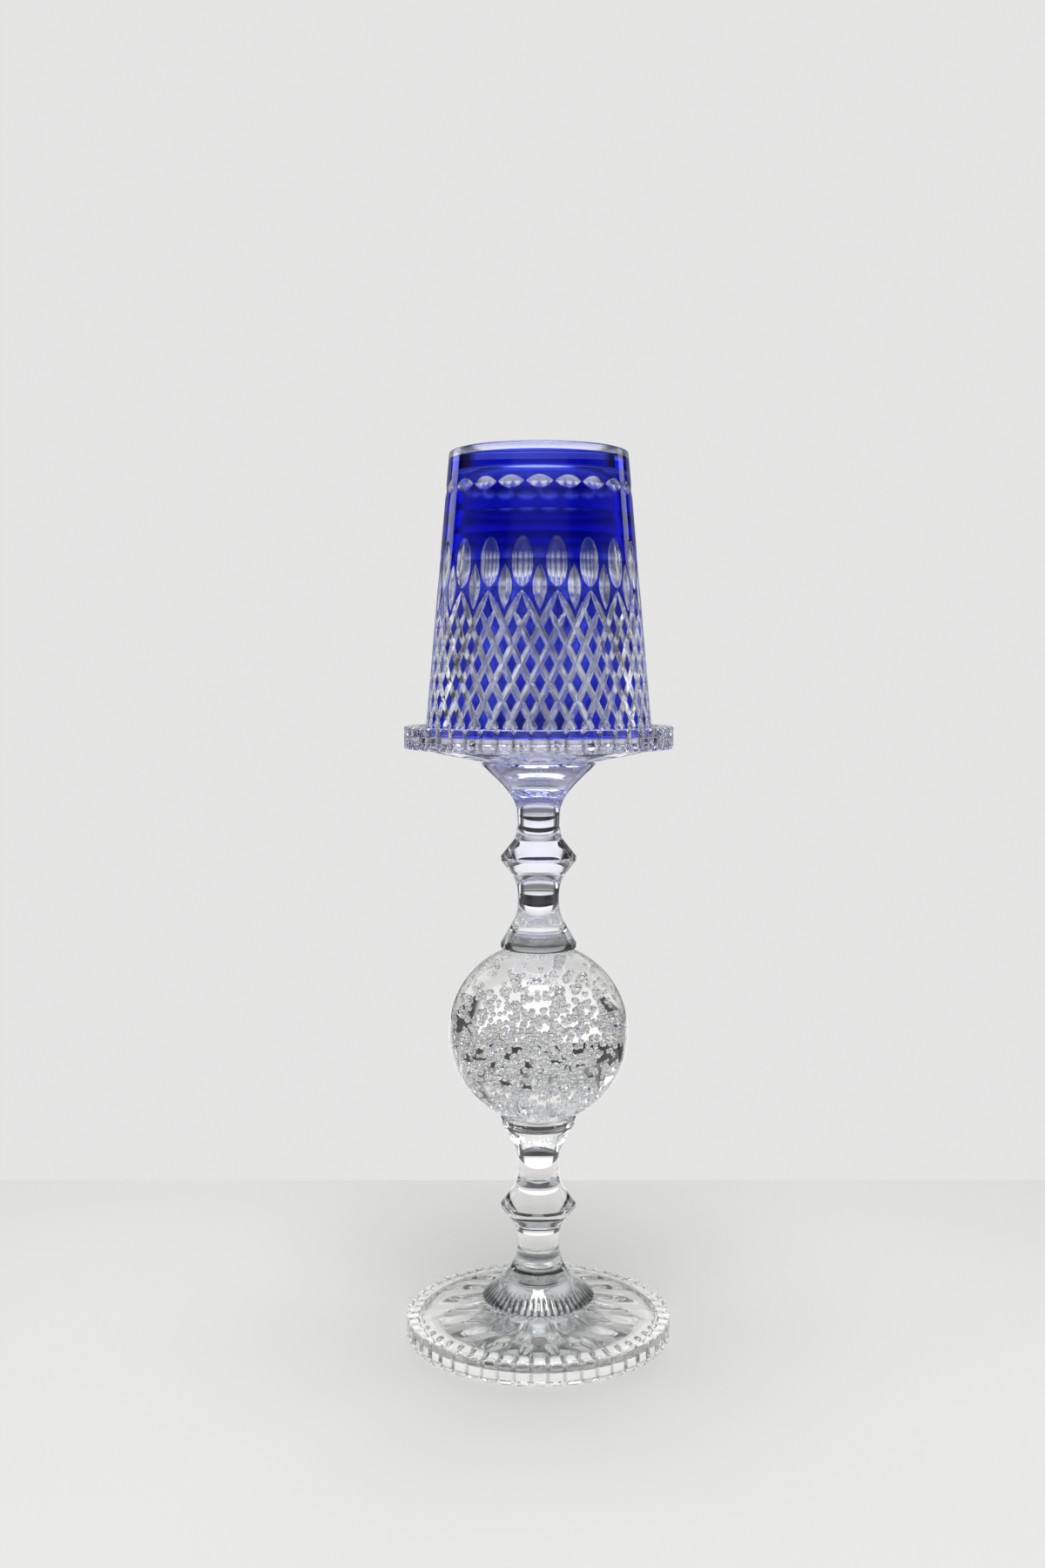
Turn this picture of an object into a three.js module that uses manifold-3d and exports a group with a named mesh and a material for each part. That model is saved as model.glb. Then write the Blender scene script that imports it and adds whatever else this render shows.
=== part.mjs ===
// Crystal candlestick with a lift-off shade.
//
// Two identical dishes with a toothed rim, two identical turned stems and a clear ball full of small
// air bubbles are bonded in one column. The lower dish is turned over and is the foot. The upper dish
// is a gallery: a tealight stands in the middle of its well, and an upturned cup of cut glass stands
// round the tealight inside the rim.
//
// Millimetres, +Z up. The origin is on the table, at the middle of the foot.

import * as THREE from "three";
import { mergeVertices } from "three/addons/utils/BufferGeometryUtils.js";
import Module from "manifold-3d";

const wasm = await Module();
wasm.setup();

// Dish, used for the foot and for the gallery
const DISH_RADIUS = 60;
const RIM_HEIGHT = 9.9;
const WELL_DEPTH = 4.5;
const WELL_FLOOR_RADIUS = 52;
const WELL_MOUTH_RADIUS = 53;
const DISH_BACK_DROP = 5.9;
const DISH_SEAT_RADIUS = 26;
const DISH_LAND_RADIUS = 56.5;
const TOOTH_COUNT = 52;
const NOTCH_DEPTH = 1.6;
const TOOTH_SHARE = 0.62;
const DISH_HEIGHT = RIM_HEIGHT + DISH_BACK_DROP;
const DISH_SEGMENTS = 52;

// Turned stem, from its wide end to its narrow end
const STEM_LENGTH = 83.7;
const STEM_FOOT_RADIUS = 25.4;
const STEM_NECK_RADIUS = 9.6;
const STEM_WAIST_RADIUS = 9.2;
const KNOP_RADIUS = 17;
const KNOP_HEIGHT = 43;
const KNOP_EDGE = 1.4;
const KNOP_SHOULDER_RADIUS = 11.3;
const KNOP_SHOULDER_REACH = 7.9;
const STEM_CUP_RADIUS = 16.9;
const STEM_SEGMENTS = 36;
const CURVE_STEPS = 5;

// Ball with a flat ground at each pole
const BALL_RADIUS = 40.5;
const BALL_FLAT_RADIUS = 14;
const BALL_HALF_HEIGHT = Math.sqrt(BALL_RADIUS ** 2 - BALL_FLAT_RADIUS ** 2);
const BALL_SEGMENTS = 40;
const BALL_RINGS = 18;

// Clear cured bond between the pieces of the column
const BOND_THICKNESS = 0.3;
const BOND_CLEARANCE = 0.05;
const JOINT_GAP = BOND_THICKNESS + 2 * BOND_CLEARANCE;
const STEM_BOND_RADIUS = STEM_FOOT_RADIUS - 1;
const BOND_SEGMENTS = 40;

// Shade: an upturned cup with a thick closed end
const SHADE_HEIGHT = 125;
const SHADE_MOUTH_RADIUS = 50.6;
const SHADE_TOP_RADIUS = 39.5;
const SHADE_MOUTH_WALL = 4.8;
const SHADE_TOP_WALL = 7;
const SHADE_END_THICKNESS = 9;
const SHADE_INNER_CORNER = 6;
const SHADE_OUTER_CORNER = 1.2;
const SHADE_SEGMENTS = 72;

// Tealight
const CUP_RADIUS = 19.2;
const CUP_HEIGHT = 16;
const CUP_WALL = 0.5;
const CUP_LIP = 0.5;
const WAX_HEIGHT = 13;
const WAX_DISH = 1;
const WICK_RADIUS = 0.9;
const WICK_RISE = 9;
const TAB_RADIUS = 7;
const TAB_THICKNESS = 0.5;
const FIT_CLEARANCE = 0.3;
const TEALIGHT_SEGMENTS = 36;
const TAB_SEGMENTS = 24;
const WICK_SEGMENTS = 12;

// Loose pieces stand this far above what they rest on.
const REST_GAP = 0.05;

const crystal = new THREE.MeshStandardMaterial({ color: 0xeef3f4, roughness: 0.02, metalness: 0 });
const bubbleCrystal = new THREE.MeshStandardMaterial({ color: 0xe6ece8, roughness: 0.03, metalness: 0 });
const casedGlass = new THREE.MeshStandardMaterial({ color: 0x1414b4, roughness: 0.03, metalness: 0 });
const curedBond = new THREE.MeshStandardMaterial({ color: 0xe4ecf2, roughness: 0.1, metalness: 0 });
const foil = new THREE.MeshStandardMaterial({ color: 0xc8cacc, roughness: 0.3, metalness: 1 });
const tinplate = new THREE.MeshStandardMaterial({ color: 0xa9abad, roughness: 0.4, metalness: 1 });
const paraffin = new THREE.MeshStandardMaterial({ color: 0xf2efe6, roughness: 0.55, metalness: 0 });
const cotton = new THREE.MeshStandardMaterial({ color: 0xe8e2d2, roughness: 0.95, metalness: 0 });

/** Turns a profile of [radius, height] points about Z. The profile runs up the outside of the piece. */
function turned(profile, segments) {
  const points = profile.map(([radius, height]) => new THREE.Vector2(radius, height));
  const geometry = new THREE.LatheGeometry(points, segments);
  return geometry.rotateX(Math.PI / 2);
}

/** The same profile with its far end at the bottom, still running upwards. */
function upended(profile, length) {
  return profile.map(([radius, height]) => [radius, length - height]).reverse();
}

/** A closed geometry as a manifold-3d solid, with its shared vertices merged. */
function solidFrom(geometry) {
  const bare = geometry.index ? geometry.toNonIndexed() : geometry.clone();
  bare.deleteAttribute("normal");
  bare.deleteAttribute("uv");
  const merged = mergeVertices(bare, 1e-4);
  return new wasm.Manifold(
    new wasm.Mesh({
      numProp: 3,
      vertProperties: merged.attributes.position.array,
      triVerts: new Uint32Array(merged.index.array),
    }),
  );
}

/** A manifold-3d solid as a geometry. */
function geometryFrom(solid) {
  const mesh = solid.getMesh();
  const geometry = new THREE.BufferGeometry();
  geometry.setAttribute("position", new THREE.BufferAttribute(mesh.vertProperties, 3));
  geometry.setIndex(new THREE.BufferAttribute(mesh.triVerts, 1));
  geometry.computeVertexNormals();
  return geometry;
}

/** A named piece standing at a height on the axis. */
function piece(name, geometry, material, height = 0) {
  const mesh = new THREE.Mesh(geometry, material);
  mesh.name = name;
  mesh.position.z = height;
  return mesh;
}

/** The outline of the toothed rim: flat-topped teeth with a V notch between each two. */
function toothedOutline() {
  const shape = new THREE.Shape();
  const pitch = (2 * Math.PI) / TOOTH_COUNT;
  const halfTooth = (pitch * TOOTH_SHARE) / 2;
  for (let tooth = 0; tooth < TOOTH_COUNT; tooth++) {
    const middle = tooth * pitch;
    const corners = [
      [middle - halfTooth, DISH_RADIUS],
      [middle + halfTooth, DISH_RADIUS],
      [middle + pitch / 2, DISH_RADIUS - NOTCH_DEPTH],
    ];
    for (const [angle, radius] of corners) {
      const [x, y] = [radius * Math.cos(angle), radius * Math.sin(angle)];
      if (tooth === 0 && angle < 0) shape.moveTo(x, y);
      else shape.lineTo(x, y);
    }
  }
  shape.closePath();
  return shape;
}

/** The dish with its well up. Its back seat is at height 0 and its rim at DISH_HEIGHT. */
function dishProfile() {
  const beyond = DISH_RADIUS + 2;
  return [
    [0, 0],
    [DISH_SEAT_RADIUS, 0],
    [DISH_LAND_RADIUS, DISH_BACK_DROP],
    [beyond, DISH_BACK_DROP],
    [beyond, DISH_HEIGHT],
    [WELL_MOUTH_RADIUS, DISH_HEIGHT],
    [WELL_FLOOR_RADIUS, DISH_HEIGHT - WELL_DEPTH],
    [0, DISH_HEIGHT - WELL_DEPTH],
  ];
}

/** A dish from its profile, with the rim cut to its teeth. */
function dish(profile) {
  const overshoot = 1;
  const depth = DISH_HEIGHT + 2 * overshoot;
  const gear = new THREE.ExtrudeGeometry(toothedOutline(), { depth, bevelEnabled: false });
  gear.translate(0, 0, -overshoot);
  return geometryFrom(solidFrom(turned(profile, DISH_SEGMENTS)).intersect(solidFrom(gear)));
}

/** The stem: a trumpet foot, a neck, a knop with a flat edge, a waist and a cup that holds the ball. */
function stemProfile() {
  const path = new THREE.Path();
  const shoulderLow = KNOP_HEIGHT - KNOP_SHOULDER_REACH;
  const shoulderHigh = KNOP_HEIGHT + KNOP_SHOULDER_REACH;
  const neckLow = 24;
  const neckTop = 28;
  const waistLow = 60;
  const waistHigh = 63.5;
  const footLip = 1.2;
  const cupLip = 2.4;
  const edgeRound = 0.6;

  path.moveTo(0, 0);
  path.lineTo(STEM_FOOT_RADIUS - edgeRound, 0);
  path.lineTo(STEM_FOOT_RADIUS, edgeRound);
  path.lineTo(STEM_FOOT_RADIUS, footLip);
  path.bezierCurveTo(19.5, 7.5, STEM_NECK_RADIUS, 14, STEM_NECK_RADIUS, neckLow);
  path.lineTo(STEM_NECK_RADIUS, neckTop);
  path.quadraticCurveTo(STEM_NECK_RADIUS + 0.2, 32.5, KNOP_SHOULDER_RADIUS, shoulderLow);
  path.lineTo(KNOP_RADIUS, KNOP_HEIGHT - KNOP_EDGE / 2);
  path.lineTo(KNOP_RADIUS, KNOP_HEIGHT + KNOP_EDGE / 2);
  path.lineTo(KNOP_SHOULDER_RADIUS, shoulderHigh);
  path.bezierCurveTo(9.9, 54, STEM_WAIST_RADIUS, 56, STEM_WAIST_RADIUS, waistLow);
  path.lineTo(STEM_WAIST_RADIUS, waistHigh);
  path.bezierCurveTo(STEM_WAIST_RADIUS, 69, 12.8, 74, STEM_CUP_RADIUS, STEM_LENGTH - cupLip);
  path.lineTo(STEM_CUP_RADIUS, STEM_LENGTH - edgeRound);
  path.lineTo(STEM_CUP_RADIUS - edgeRound, STEM_LENGTH);
  path.lineTo(0, STEM_LENGTH);
  return path.getPoints(CURVE_STEPS).map((point) => [point.x, point.y]);
}

/** The ball, centred on height 0. */
function ballProfile() {
  const poleAngle = Math.asin(BALL_FLAT_RADIUS / BALL_RADIUS);
  const profile = [[0, -BALL_HALF_HEIGHT]];
  for (let ring = 0; ring <= BALL_RINGS; ring++) {
    const angle = poleAngle + ((Math.PI - 2 * poleAngle) * ring) / BALL_RINGS;
    profile.push([BALL_RADIUS * Math.sin(angle), -BALL_RADIUS * Math.cos(angle)]);
  }
  profile.push([0, BALL_HALF_HEIGHT]);
  return profile;
}

/** The shade's wall, mouth down at height 0: up the outside, over the closed end, then down the inside. */
function shadeProfile() {
  const innerTopRadius = SHADE_TOP_RADIUS - SHADE_TOP_WALL;
  const innerHeight = SHADE_HEIGHT - SHADE_END_THICKNESS;
  const path = new THREE.Path();
  path.moveTo(SHADE_MOUTH_RADIUS - SHADE_MOUTH_WALL, 0);
  path.lineTo(SHADE_MOUTH_RADIUS, 0);
  path.lineTo(SHADE_TOP_RADIUS, SHADE_HEIGHT - SHADE_OUTER_CORNER);
  path.lineTo(SHADE_TOP_RADIUS - SHADE_OUTER_CORNER, SHADE_HEIGHT);
  path.lineTo(0, SHADE_HEIGHT);
  path.lineTo(0, innerHeight);
  path.lineTo(innerTopRadius - SHADE_INNER_CORNER, innerHeight);
  path.quadraticCurveTo(innerTopRadius, innerHeight, innerTopRadius, innerHeight - SHADE_INNER_CORNER);
  path.lineTo(SHADE_MOUTH_RADIUS - SHADE_MOUTH_WALL, 0);
  return path.getPoints(CURVE_STEPS).map((point) => [point.x, point.y]);
}

/** The tealight's thin cup, with a rolled lip. */
function cupProfile() {
  return [
    [0, 0],
    [CUP_RADIUS - CUP_LIP, 0],
    [CUP_RADIUS - CUP_LIP, CUP_HEIGHT - 1],
    [CUP_RADIUS, CUP_HEIGHT - 0.6],
    [CUP_RADIUS, CUP_HEIGHT],
    [CUP_RADIUS - CUP_LIP - CUP_WALL, CUP_HEIGHT],
    [CUP_RADIUS - CUP_LIP - CUP_WALL, CUP_WALL],
    [0, CUP_WALL],
  ];
}

/** The wax: a cake with a dished top, a bore for the wick and a recess for the wick's tab. */
function waxProfile() {
  const boreRadius = WICK_RADIUS + FIT_CLEARANCE;
  const recessRadius = TAB_RADIUS + FIT_CLEARANCE;
  const recessHeight = TAB_THICKNESS + FIT_CLEARANCE;
  const waxRadius = CUP_RADIUS - CUP_LIP - CUP_WALL - FIT_CLEARANCE;
  return [
    [boreRadius, recessHeight],
    [recessRadius, recessHeight],
    [recessRadius, 0],
    [waxRadius, 0],
    [waxRadius, WAX_HEIGHT],
    [waxRadius * 0.6, WAX_HEIGHT - WAX_DISH],
    [boreRadius, WAX_HEIGHT - WAX_DISH],
    [boreRadius, recessHeight],
  ];
}

/** A disc of cured bond, clear of the piece whose face is at the given height. */
function bond(name, radius, faceHeight) {
  return piece(name, disc(radius, BOND_THICKNESS, BOND_SEGMENTS), curedBond, faceHeight + BOND_CLEARANCE);
}

/** A round plate standing on height 0. */
function disc(radius, thickness, segments) {
  return new THREE.CylinderGeometry(radius, radius, thickness, segments)
    .rotateX(Math.PI / 2)
    .translate(0, 0, thickness / 2);
}

// The column, from the table up
const footSeat = DISH_HEIGHT;
const lowerStemFoot = footSeat + JOINT_GAP;
const lowerStemTop = lowerStemFoot + STEM_LENGTH;
const ballMiddle = lowerStemTop + JOINT_GAP + BALL_HALF_HEIGHT;
const ballTop = ballMiddle + BALL_HALF_HEIGHT;
const upperStemBottom = ballTop + JOINT_GAP;
const upperStemTop = upperStemBottom + STEM_LENGTH;
const gallerySeat = upperStemTop + JOINT_GAP;
const galleryFloor = gallerySeat + DISH_HEIGHT - WELL_DEPTH;

const stem = stemProfile();
const stand = new THREE.Group();
stand.add(
  piece("foot_dish", dish(upended(dishProfile(), DISH_HEIGHT)), crystal),
  bond("foot_bond", STEM_BOND_RADIUS, footSeat),
  piece("lower_stem", turned(stem, STEM_SEGMENTS), crystal, lowerStemFoot),
  bond("lower_ball_bond", BALL_FLAT_RADIUS, lowerStemTop),
  piece("bubble_ball", turned(ballProfile(), BALL_SEGMENTS), bubbleCrystal, ballMiddle),
  bond("upper_ball_bond", BALL_FLAT_RADIUS, ballTop),
  piece("upper_stem", turned(upended(stem, STEM_LENGTH), STEM_SEGMENTS), crystal, upperStemBottom),
  bond("gallery_bond", STEM_BOND_RADIUS, upperStemTop),
  piece("gallery_dish", dish(dishProfile()), crystal, gallerySeat),
);

const tealight = new THREE.Group();
tealight.position.z = galleryFloor + REST_GAP;
const cakeHeight = CUP_WALL + REST_GAP;
const wickLength = WAX_HEIGHT - WAX_DISH - TAB_THICKNESS + WICK_RISE;
tealight.add(
  piece("tealight_cup", turned(cupProfile(), TEALIGHT_SEGMENTS), foil),
  piece("wick_tab", disc(TAB_RADIUS, TAB_THICKNESS, TAB_SEGMENTS), tinplate, cakeHeight),
  piece("tealight_wax", turned(waxProfile(), TEALIGHT_SEGMENTS), paraffin, cakeHeight),
  piece("wick", disc(WICK_RADIUS, wickLength, WICK_SEGMENTS), cotton, cakeHeight + TAB_THICKNESS + REST_GAP),
);

const candlestick = new THREE.Group();
candlestick.add(
  stand,
  tealight,
  piece("shade", turned(shadeProfile(), SHADE_SEGMENTS), casedGlass, galleryFloor + REST_GAP),
);

export default candlestick;
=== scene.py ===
"""Crystal candlestick with a lift-off shade of cut cobalt glass.

Two pressed dishes, two turned stems and a ball of seeded crystal are bonded in one column. A tealight
stands in the upper dish, and an upturned cup of cased glass, cut through to clear, stands round it.

Metres, +Z up. The origin is on the table, at the middle of the foot.
"""

import logging
import math
import random
from dataclasses import dataclass, field
from enum import Enum

import bpy
import numpy as np
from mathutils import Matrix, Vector


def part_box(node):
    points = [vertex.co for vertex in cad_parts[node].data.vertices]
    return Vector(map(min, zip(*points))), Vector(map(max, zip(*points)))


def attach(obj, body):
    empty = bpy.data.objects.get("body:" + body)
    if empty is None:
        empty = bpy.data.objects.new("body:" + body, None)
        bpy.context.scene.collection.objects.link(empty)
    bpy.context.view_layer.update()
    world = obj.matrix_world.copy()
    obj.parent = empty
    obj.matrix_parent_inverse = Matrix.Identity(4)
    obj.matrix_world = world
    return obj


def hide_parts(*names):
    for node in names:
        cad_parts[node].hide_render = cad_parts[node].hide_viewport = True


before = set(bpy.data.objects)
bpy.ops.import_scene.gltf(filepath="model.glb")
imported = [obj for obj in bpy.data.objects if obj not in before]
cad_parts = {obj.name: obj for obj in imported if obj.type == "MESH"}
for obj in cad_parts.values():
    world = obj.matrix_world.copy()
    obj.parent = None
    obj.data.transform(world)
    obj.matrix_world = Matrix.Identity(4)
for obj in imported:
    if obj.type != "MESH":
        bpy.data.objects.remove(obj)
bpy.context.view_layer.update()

MM = 0.001
FULL_TURN = 2 * math.pi
TOWARDS_VIEWER = -math.pi / 2
# Mesh note for slots and flutes, where the crystal's colour is darkened as painted shade.
SLOT_SHADE_NOTE = "slot"

Colour = tuple[float, float, float]
Point = tuple[float, float]

log = logging.getLogger("candlestick")


class Body(Enum):
    """The bodies that move on their own."""

    STAND = "stand"
    TEALIGHT = "tealight"
    SHADE = "shade"


class Slot(Enum):
    """The material slots."""

    CRYSTAL = "crystal"
    BUBBLE_CRYSTAL = "bubble_crystal"
    CASED_GLASS = "cased_glass"
    CURED_BOND = "cured_bond"
    FOIL = "foil"
    TINPLATE = "tinplate"
    PARAFFIN = "paraffin"
    COTTON = "cotton"


class Way(Enum):
    """Which way up a piece that is used twice stands."""

    UPRIGHT = "upright"
    UPENDED = "upended"


# ---------------------------------------------------------------- outlines and turning


@dataclass
class Outline:
    """Half a section of a turned piece, as points of radius and height in millimetres."""

    points: list[Point] = field(default_factory=list)

    def to(self, radius: float, height: float, steps: int = 1) -> "Outline":
        """Adds a straight run to a point.

        Args:
            radius: The point's distance from the axis.
            height: The point's height.
            steps: How many even pieces the run is split into.

        Returns:
            The outline itself, so that calls can be chained.
        """
        if not self.points:
            self.points.append((radius, height))
            return self
        last_radius, last_height = self.points[-1]
        for step in range(1, steps + 1):
            share = step / steps
            self.points.append(
                (last_radius + (radius - last_radius) * share, last_height + (height - last_height) * share)
            )
        return self

    def curve(self, leave: Point, arrive: Point, end: Point, steps: int) -> "Outline":
        """Adds a cubic curve.

        Args:
            leave: The control point that the curve leaves towards.
            arrive: The control point that it arrives from.
            end: Its last point.
            steps: How many pieces it is split into.

        Returns:
            The outline itself.
        """
        start = self.points[-1]
        for step in range(1, steps + 1):
            t = step / steps
            weights = ((1 - t) ** 3, 3 * t * (1 - t) ** 2, 3 * t * t * (1 - t), t**3)
            corners = (start, leave, arrive, end)
            self.points.append(
                (
                    sum(w * corner[0] for w, corner in zip(weights, corners)),
                    sum(w * corner[1] for w, corner in zip(weights, corners)),
                )
            )
        return self

    def turned_over(self, length: float) -> "Outline":
        """The same outline upside down, for a piece of this length.

        Args:
            length: The piece's whole height.

        Returns:
            A new outline.
        """
        return Outline([(radius, length - height) for radius, height in reversed(self.points)])


def deselect_all() -> None:
    """Leaves edit mode and selects nothing."""
    if bpy.context.object is not None and bpy.context.object.mode != "OBJECT":
        bpy.ops.object.mode_set(mode="OBJECT")
    bpy.ops.object.select_all(action="DESELECT")


def turn(
    name: str, outline: Outline, steps: int, base: float, sectors: int = 1, closed: bool = False
) -> bpy.types.Object:
    """Turns an outline about the Z axis.

    Args:
        name: The new object's name.
        outline: The section. It starts and ends on the axis unless it is closed.
        steps: How many divisions go round.
        base: The height in metres that the outline's zero stands at.
        sectors: How many like sectors the turn is made up of. One is spun, and the rest are its copies.
        closed: True for a ring, whose outline ends where it starts.

    Returns:
        The turned object, closed and facing outwards.
    """
    deselect_all()
    bpy.ops.mesh.primitive_plane_add(size=MM, location=(0, 0, 0))
    piece = bpy.context.object
    piece.name = name
    piece.data.name = name
    bpy.ops.object.mode_set(mode="EDIT")
    bpy.ops.mesh.select_all(action="SELECT")
    bpy.ops.mesh.merge(type="CENTER")
    places = [Vector((radius * MM, 0, base + height * MM)) for radius, height in outline.points]
    bpy.ops.transform.translate(value=places[0])
    for before, after in zip(places, places[1:]):
        bpy.ops.mesh.extrude_region_move(TRANSFORM_OT_translate={"value": after - before})
    bpy.ops.mesh.select_all(action="SELECT")
    if closed:
        bpy.ops.mesh.remove_doubles(threshold=MM / 500)
    sweep = FULL_TURN / sectors
    bpy.ops.mesh.spin(steps=steps // sectors, angle=sweep, center=(0, 0, 0), axis=(0, 0, 1))
    bpy.ops.mesh.select_all(action="SELECT")
    if sectors > 1:
        rest = FULL_TURN - sweep
        bpy.ops.mesh.spin(steps=sectors - 1, angle=rest, dupli=True, center=(0, 0, 0), axis=(0, 0, 1))
        bpy.ops.mesh.select_all(action="SELECT")
    bpy.ops.mesh.remove_doubles(threshold=MM / 200)
    bpy.ops.mesh.normals_make_consistent(inside=False)
    bpy.ops.object.mode_set(mode="OBJECT")
    return piece


def smooth(piece: bpy.types.Object, crease: float = 32) -> None:
    """Shades a piece smooth, apart from its creases.

    Args:
        piece: The piece.
        crease: The angle in degrees from which an edge stays sharp.
    """
    deselect_all()
    bpy.context.view_layer.objects.active = piece
    piece.select_set(True)
    bpy.ops.object.shade_smooth_by_angle(angle=math.radians(crease))


def read_places(piece: bpy.types.Object) -> np.ndarray:
    """The places of a piece's vertices, as an array of rows."""
    places = np.empty(len(piece.data.vertices) * 3)
    piece.data.vertices.foreach_get("co", places)
    return places.reshape(-1, 3)


def write_places(piece: bpy.types.Object, places: np.ndarray) -> None:
    """Moves a piece's vertices to new places, given as an array of rows."""
    piece.data.vertices.foreach_set("co", places.astype(np.float32).ravel())
    piece.data.update()


def sector(angle: np.ndarray, count: int) -> np.ndarray:
    """Where each angle lies in its sector, when a turn has count of them.

    Args:
        angle: Angles in radians.
        count: How many sectors a turn has. One of them is centred on angle 0.

    Returns:
        Shares of a sector, from -0.5 to 0.5, and 0 at its middle.
    """
    return (angle * count / FULL_TURN + 0.5) % 1 - 0.5


def hand_over(piece: bpy.types.Object, body: Body, node: str) -> None:
    """Puts a finished piece in the place of its plain solid.

    Args:
        piece: The finished piece.
        body: The body that it moves with.
        node: The plain solid that it stands for.
    """
    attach(piece, body.value)
    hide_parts(node)
    log.info("%s: %d faces, on %s", piece.name, len(piece.data.polygons), body.value)


# ---------------------------------------------------------------- finishes


class Recipe:
    """One material's node tree, with short ways to add to it."""

    def __init__(self, name: str) -> None:
        """Starts a material that holds a surface shader and nothing else.

        Args:
            name: The material's name.
        """
        self.material = bpy.data.materials.new(name)
        self.material.use_nodes = True
        self.nodes = self.material.node_tree.nodes
        self.links = self.material.node_tree.links
        self.shader = self.nodes["Principled BSDF"]
        self.place = self.nodes.new("ShaderNodeTexCoord").outputs["Object"]

    def set(self, **values: float | tuple) -> None:
        """Sets the shader's own sockets. Underscores in a name stand for spaces."""
        for name, value in values.items():
            self.shader.inputs[name.replace("_", " ")].default_value = value

    def noise(self, scale: float, detail: float = 3) -> bpy.types.NodeSocket:
        """Noise that is fixed to the piece.

        Args:
            scale: How fine it is, in cells to the metre.
            detail: How many finer layers it has.

        Returns:
            The noise's value.
        """
        node = self.nodes.new("ShaderNodeTexNoise")
        node.inputs["Scale"].default_value = scale
        node.inputs["Detail"].default_value = detail
        self.links.new(self.place, node.inputs["Vector"])
        return node.outputs["Fac"]

    def spread(self, source: bpy.types.NodeSocket, low: float, high: float) -> bpy.types.NodeSocket:
        """Spreads a value of 0 to 1 over another range.

        Args:
            source: The value.
            low: What 0 becomes.
            high: What 1 becomes.

        Returns:
            The spread value.
        """
        node = self.nodes.new("ShaderNodeMapRange")
        node.inputs["To Min"].default_value = low
        node.inputs["To Max"].default_value = high
        self.links.new(source, node.inputs["Value"])
        return node.outputs["Result"]

    def ramp(self, source: bpy.types.NodeSocket, stops: list[tuple[float, Colour]]) -> bpy.types.NodeSocket:
        """Colours a value of 0 to 1.

        Args:
            source: The value.
            stops: Places from 0 to 1, each with its colour.

        Returns:
            The colour.
        """
        node = self.nodes.new("ShaderNodeValToRGB")
        elements = node.color_ramp.elements
        while len(elements) < len(stops):
            elements.new(1)
        for element, (place, colour) in zip(elements, stops):
            element.position = place
            element.color = (*colour, 1)
        self.links.new(source, node.inputs["Fac"])
        return node.outputs["Color"]

    def bump(self, height: bpy.types.NodeSocket, strength: float, depth: float) -> None:
        """Lets a height show in the shading.

        Args:
            height: The height, from 0 to 1.
            strength: How much of it shows.
            depth: What 1 stands for, in metres.
        """
        node = self.nodes.new("ShaderNodeBump")
        node.inputs["Strength"].default_value = strength
        node.inputs["Distance"].default_value = depth
        self.links.new(height, node.inputs["Height"])
        self.links.new(node.outputs["Normal"], self.shader.inputs["Normal"])

    def feed(self, socket: str, source: bpy.types.NodeSocket) -> None:
        """Links a value to one of the shader's sockets."""
        self.links.new(source, self.shader.inputs[socket])

    def paint_slot_shade(self, colour: bpy.types.NodeSocket, grey: float) -> bpy.types.NodeSocket:
        """Darkens a colour in the slots of a toothed rim, as painted shade.

        Args:
            colour: The colour of the glass.
            grey: How light the painted shade leaves the slots' floors, from 0 to 1.

        Returns:
            The colour, darkened with painted shade where the mesh notes a slot.
        """
        # Painted shade: the glass colour is darkened in the noted slots and flutes.
        slot = self.nodes.new("ShaderNodeAttribute")
        slot.attribute_name = SLOT_SHADE_NOTE
        shadow = self.ramp(slot.outputs["Fac"], [(0.2, (1, 1, 1)), (0.75, (grey, grey, grey))])
        mix = self.nodes.new("ShaderNodeMix")
        mix.data_type = "RGBA"
        mix.blend_type = "MULTIPLY"
        mix.inputs[0].default_value = 1
        self.links.new(colour, mix.inputs[6])
        self.links.new(shadow, mix.inputs[7])
        return mix.outputs[2]


@dataclass(frozen=True)
class ClearCrystal:
    """Polished crystal, with faint ripples from the press, a trace of handling, and painted shade in the
    slots that the mesh notes.
    """

    name: str
    tint: Colour = (0.992, 0.993, 0.988)
    ior: float = 1.53
    ripple: float = 0.12
    ripple_scale: float = 55
    # How light the painted shade leaves the noted slots.
    painted_slot_shade: float = 0.68

    def make(self) -> bpy.types.Material:
        """Builds the material."""
        recipe = Recipe(self.name)
        recipe.set(IOR=self.ior, Transmission_Weight=1.0)
        denser = tuple(part - 0.006 for part in self.tint)
        streaks = recipe.ramp(recipe.noise(12), [(0.3, self.tint), (0.7, denser)])
        recipe.feed("Base Color", recipe.paint_slot_shade(streaks, self.painted_slot_shade))
        recipe.feed("Roughness", recipe.spread(recipe.noise(90), 0.0, 0.03))
        recipe.bump(recipe.noise(self.ripple_scale, 2), self.ripple, 0.6 * MM)
        return recipe.material


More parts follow.
